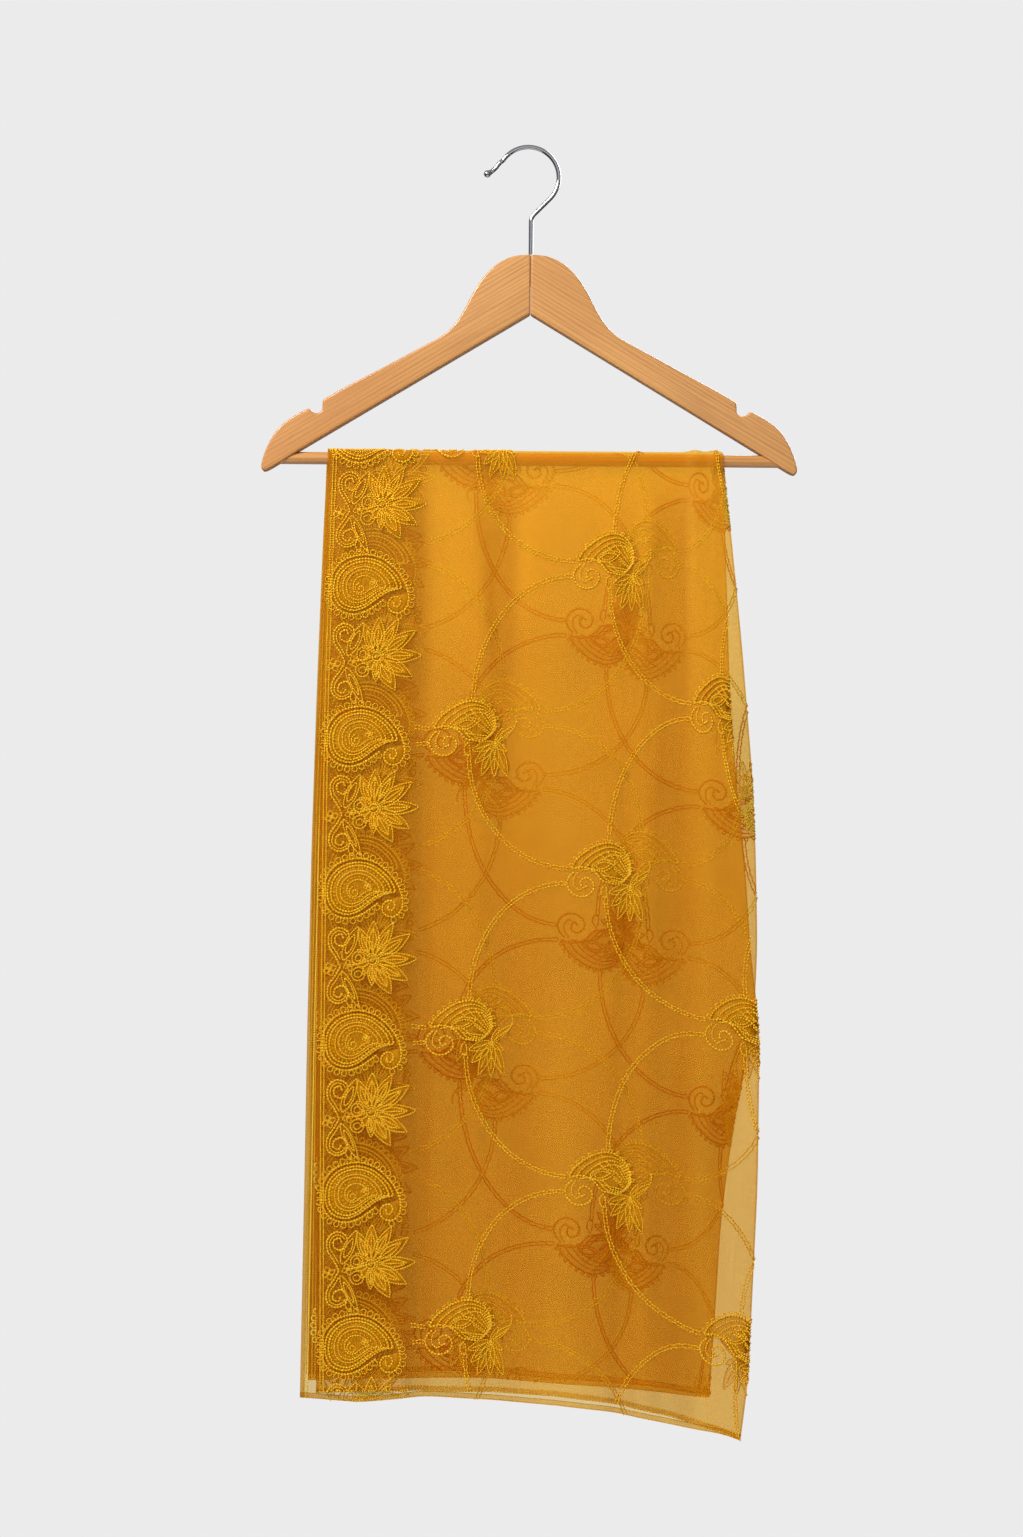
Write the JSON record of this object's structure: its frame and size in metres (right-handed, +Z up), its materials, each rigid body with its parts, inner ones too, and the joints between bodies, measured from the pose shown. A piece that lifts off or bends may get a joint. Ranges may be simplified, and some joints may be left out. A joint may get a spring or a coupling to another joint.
{
  "type": "dupatta stole on a wooden hanger",
  "caption": "Embroidered sheer dupatta stole, folded lengthwise and draped over the trouser bar of a flat wooden hanger with a wire hook.",
  "frame": {"origin": "inside top of the wire hook, where a rail or nail carries the hanger", "axes": "+Z up along the hook's stem, -Y towards the front of the stole, +X towards its lengthwise fold"},
  "size_m": [0.4388, 0.0299, 1.0605],
  "materials": {
    "organza": "sheer mustard organza",
    "golden_thread": "golden chain stitch embroidery with a silky sheen",
    "light_wood": "clear satin lacquer on light wood",
    "chrome_wire": "polished chrome wire"
  },
  "bodies": {
    "root": {"stole_front_fall": "organza", "stole_turn": "organza", "stole_back_fall": "organza", "hanger_arm_left": "light_wood", "hanger_arm_right": "light_wood", "hanger_bar": "light_wood", "hanger_hook": "chrome_wire", "front_border_paisley_1": "golden_thread", "front_border_paisley_2": "golden_thread", "front_border_paisley_3": "golden_thread", "front_border_paisley_4": "golden_thread", "front_border_paisley_5": "golden_thread", "front_border_paisley_6": "golden_thread", "front_border_flower_1": "golden_thread", "front_border_flower_2": "golden_thread", "front_border_flower_3": "golden_thread", "front_border_flower_4": "golden_thread", "front_border_flower_5": "golden_thread", "front_border_flower_6": "golden_thread", "front_field_cluster_1_1": "golden_thread", "front_field_cluster_1_2": "golden_thread", "front_field_cluster_1_3": "golden_thread", "front_field_cluster_2_1": "golden_thread", "front_field_cluster_2_2": "golden_thread", "front_field_cluster_2_3": "golden_thread", "back_border_paisley_1": "golden_thread", "back_border_paisley_2": "golden_thread", "back_border_paisley_3": "golden_thread", "back_border_paisley_4": "golden_thread", "back_border_paisley_5": "golden_thread", "back_border_flower_1": "golden_thread", "back_border_flower_2": "golden_thread", "back_border_flower_3": "golden_thread", "back_border_flower_4": "golden_thread", "back_border_flower_5": "golden_thread", "back_border_flower_6": "golden_thread", "back_field_cluster_1_1": "golden_thread", "back_field_cluster_1_2": "golden_thread", "back_field_cluster_2_1": "golden_thread", "back_field_cluster_2_2": "golden_thread", "back_field_cluster_2_3": "golden_thread"}
  },
  "joints": []
}
